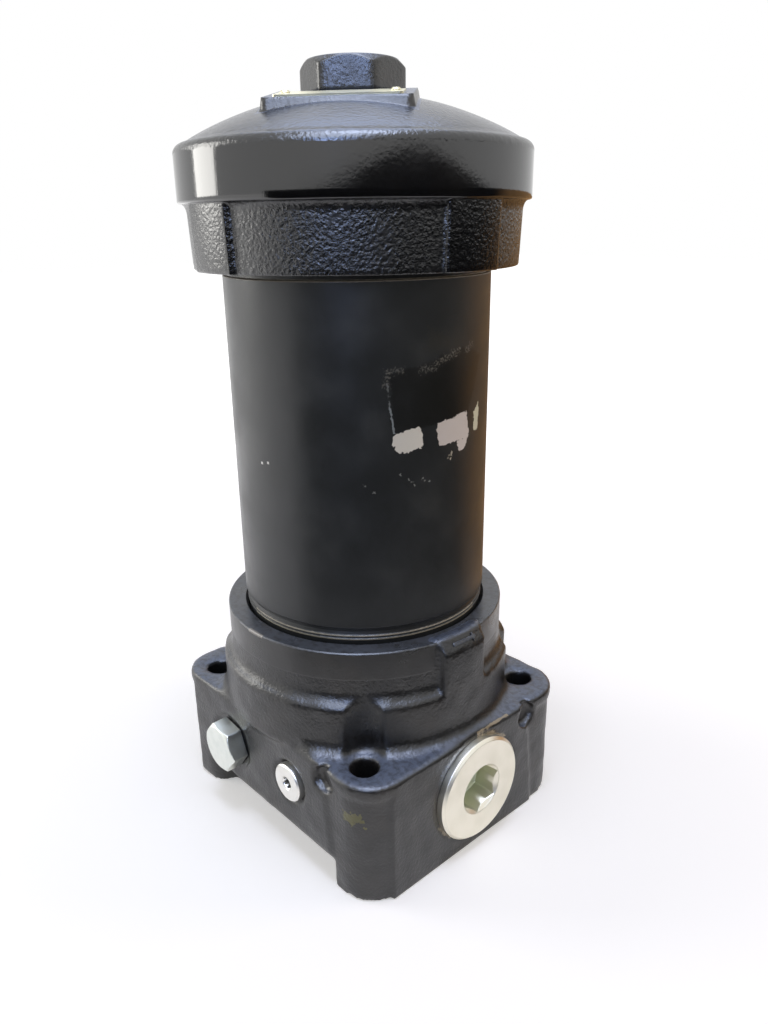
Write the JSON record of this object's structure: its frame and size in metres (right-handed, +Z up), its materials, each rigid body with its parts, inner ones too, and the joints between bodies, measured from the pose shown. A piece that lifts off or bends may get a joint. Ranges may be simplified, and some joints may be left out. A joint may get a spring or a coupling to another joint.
{
  "type": "hydraulic pressure filter",
  "caption": "Upright high pressure oil filter: flanged cast head with plugged side ports, steel bowl tube, screwed lugged cap and a pleated element inside.",
  "frame": {"origin": "centre of the mounting face under the head, on the axis of the bowl", "axes": "+Z up along the bowl, +X out of the outlet port, -Y out of the indicator and vent ports"},
  "size_m": [0.1922, 0.1788, 0.4116],
  "materials": {
    "black_painted_casting": "semi-gloss black enamel over as-cast iron",
    "black_painted_tube": "satin black paint on turned steel tube",
    "zinc_plated_steel": "clear passivated zinc plating",
    "tag_aluminium": "bare aluminium plate",
    "nitrile_rubber": "black matt",
    "ptfe": "off-white matt",
    "machined_steel": "turned",
    "tinned_sheet": "tinned sheet",
    "filter_media": "resin bonded glass fibre",
    "outer_net": "open plastic net",
    "brass": "turned",
    "spring_steel": "oiled wire"
  },
  "bodies": {
    "root": {"head_casting": "black_painted_casting", "head_drum": "black_painted_casting", "bowl_tube": "black_painted_tube", "bowl_o_ring": "nitrile_rubber", "bowl_backup_ring": "ptfe", "outlet_port_plug": "zinc_plated_steel", "outlet_plug_o_ring": "nitrile_rubber", "inlet_port_plug": "zinc_plated_steel", "inlet_plug_o_ring": "nitrile_rubber", "indicator_port_plug": "zinc_plated_steel", "indicator_plug_seal": "zinc_plated_steel", "vent_plug": "zinc_plated_steel", "vent_plug_o_ring": "nitrile_rubber", "element_spigot": "machined_steel", "bypass_cage": "machined_steel", "bypass_seat": "brass", "bypass_spring": "spring_steel", "element_lower_cap": "tinned_sheet", "element_o_ring": "nitrile_rubber", "element_core": "tinned_sheet", "element_pleats": "filter_media", "element_outer_wrap": "outer_net", "element_upper_cap": "tinned_sheet"},
    "cap_seals": {"cap_o_ring": "nitrile_rubber", "cap_backup_ring": "ptfe"},
    "cap": {"cap_casting": "black_painted_casting", "tag_plate": "tag_aluminium", "tag_rivets": "zinc_plated_steel"},
    "bypass_valve": {"bypass_poppet": "machined_steel"},
    "bail": {"bail_handle": "spring_steel"}
  },
  "joints": [
    {"name": "cap_lift", "type": "slide", "parent": "root", "child": "cap_seals", "axis": [0, 0, 1], "range_m": [0, 0.036]},
    {"name": "cap_turn", "type": "hinge", "parent": "cap_seals", "child": "cap", "pos_m": [0, 0, 0.35], "axis": [0, 0, 1], "range_deg": [0, 4320]},
    {"name": "bypass_open", "type": "slide", "parent": "root", "child": "bypass_valve", "axis": [0, 0, -1], "range_m": [0, 0.005], "stiffness_N_per_m": 9000, "springref_m": -0.004, "deforming": ["bypass_spring"]},
    {"name": "bail_fold", "type": "hinge", "parent": "root", "child": "bail", "pos_m": [0, 0, 0.3399], "axis": [-1, 0, 0], "range_deg": [0, 90]}
  ],
  "couplings": [
    {"joint": "cap_lift", "follows": "cap_turn", "m_per_rad": 0.00047746}
  ]
}
